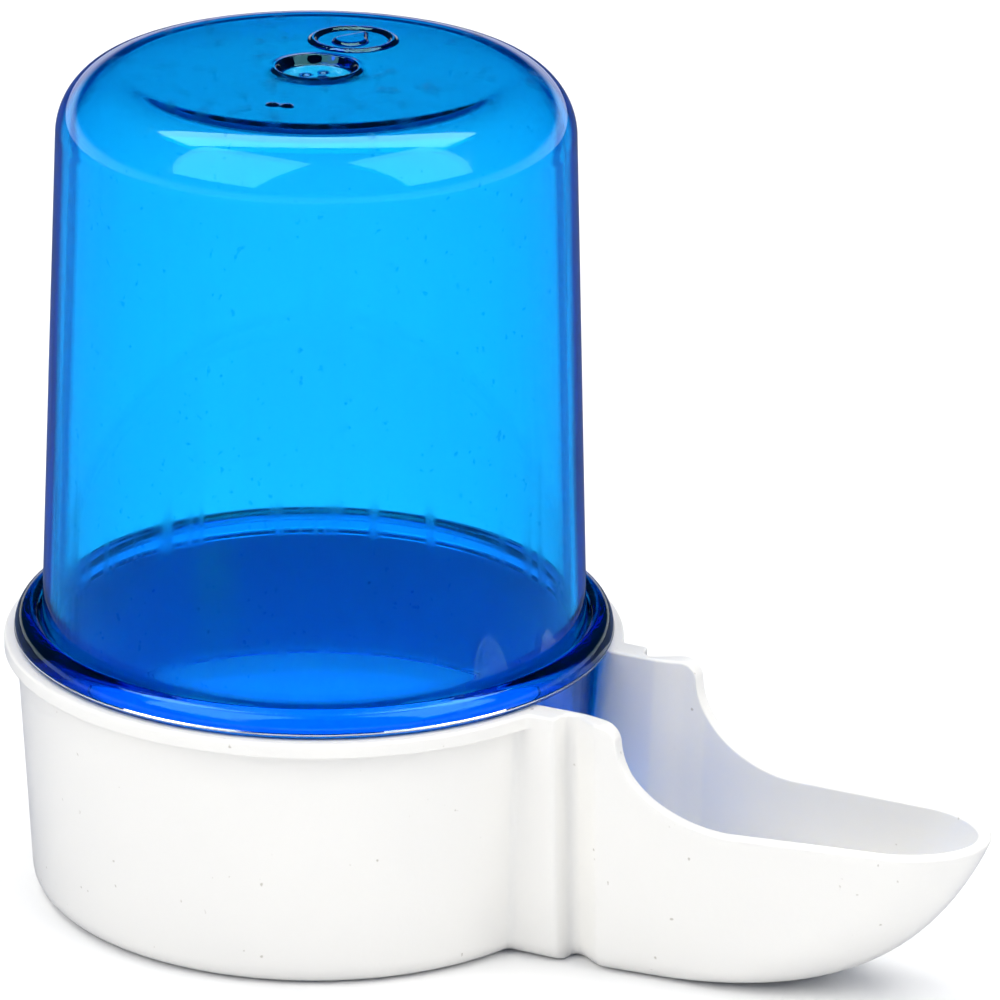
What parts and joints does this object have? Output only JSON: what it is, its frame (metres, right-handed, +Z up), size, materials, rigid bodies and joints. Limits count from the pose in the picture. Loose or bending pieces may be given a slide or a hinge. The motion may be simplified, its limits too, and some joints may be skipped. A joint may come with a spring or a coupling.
{
  "type": "cage bird siphon drinker",
  "caption": "Clear blue cup standing mouth down in a round white base whose grooved neck and open trough let a caged bird drink.",
  "frame": {"origin": "middle of the round seat, on the underside of the base", "axes": "+Z up along the cup, +X along the spout, +Y to the left of the spout"},
  "size_m": [0.1048, 0.0624, 0.086],
  "materials": {
    "clear_blue": "clear, glossy, lightly scratched",
    "white_plastic": "satin, moulded"
  },
  "bodies": {
    "base_body": {"base": "white_plastic"},
    "reservoir_body": {"reservoir": "clear_blue"}
  },
  "joints": [
    {"name": "reservoir_lift", "type": "slide", "parent": "base_body", "child": "reservoir_body", "axis": [0, 0, 1], "range_m": [0, 0.04]}
  ]
}
